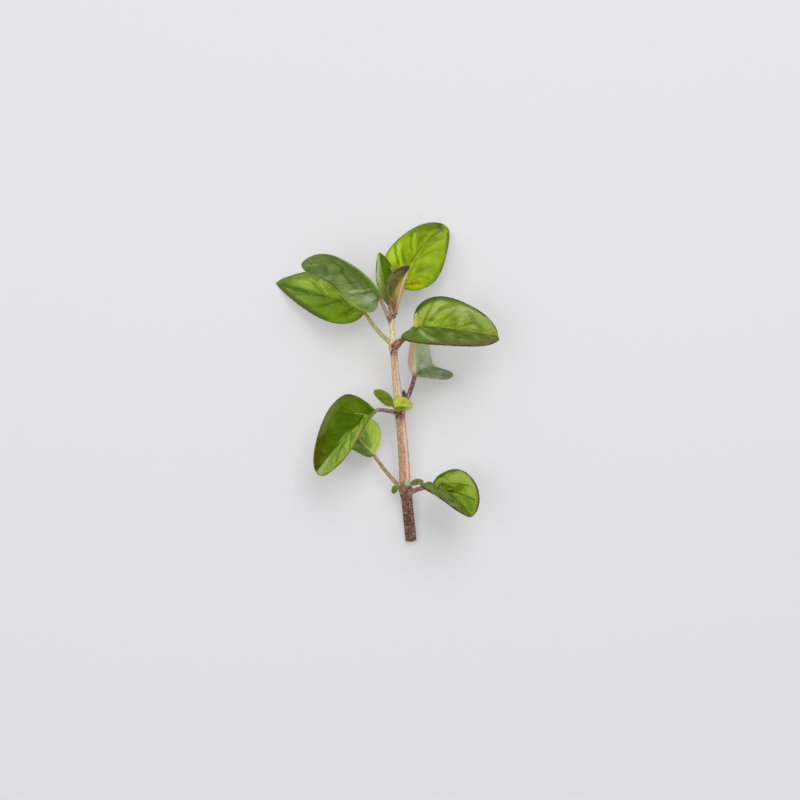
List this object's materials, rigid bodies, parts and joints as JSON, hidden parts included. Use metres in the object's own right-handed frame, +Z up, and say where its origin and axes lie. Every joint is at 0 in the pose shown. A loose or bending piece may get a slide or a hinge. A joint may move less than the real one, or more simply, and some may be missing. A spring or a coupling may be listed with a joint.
{
  "type": "oregano sprig",
  "caption": "Fresh cut oregano sprig lying flat, with a square stem, opposite pairs of oval leaves on stalks, small side shoots and a folded tip.",
  "frame": {"origin": "on the surface the sprig lies on, below the middle of its outer box", "axes": "+Y along the stem from the cut end to the tip, +Z up away from the surface, +X to the right seen from above with the tip ahead"},
  "size_m": [0.0442, 0.0638, 0.0191],
  "materials": {
    "stem": "satin, finely hairy, green stem flushed with purple-brown",
    "leaf_1_left": "satin leaf",
    "leaf_1_right": "satin leaf",
    "leaf_2_left": "satin leaf",
    "leaf_2_right": "matt hairy underside of a leaf",
    "leaf_3_left": "satin leaf",
    "leaf_3_right": "satin leaf",
    "leaf_4_left": "satin leaf",
    "leaf_4_right": "satin leaf",
    "tip_leaf_left": "satin leaf",
    "tip_leaf_right": "hairy leaf",
    "side_shoots": "satin leaf"
  },
  "bodies": {
    "root": {"main_stem": "stem", "leaf_1_left": "leaf_1_left", "leaf_1_right": "leaf_1_right", "leaf_2_left": "leaf_2_left", "leaf_2_right": "leaf_2_right", "leaf_3_left": "leaf_3_left", "leaf_3_right": "leaf_3_right", "leaf_4_left": "leaf_4_left", "leaf_4_right": "leaf_4_right", "tip_leaf_left": "tip_leaf_left", "tip_leaf_right": "tip_leaf_right", "side_shoot_1_left": "side_shoots", "side_shoot_1_right": "side_shoots", "side_shoot_2_left": "side_shoots", "side_shoot_2_right": "side_shoots"}
  },
  "joints": []
}
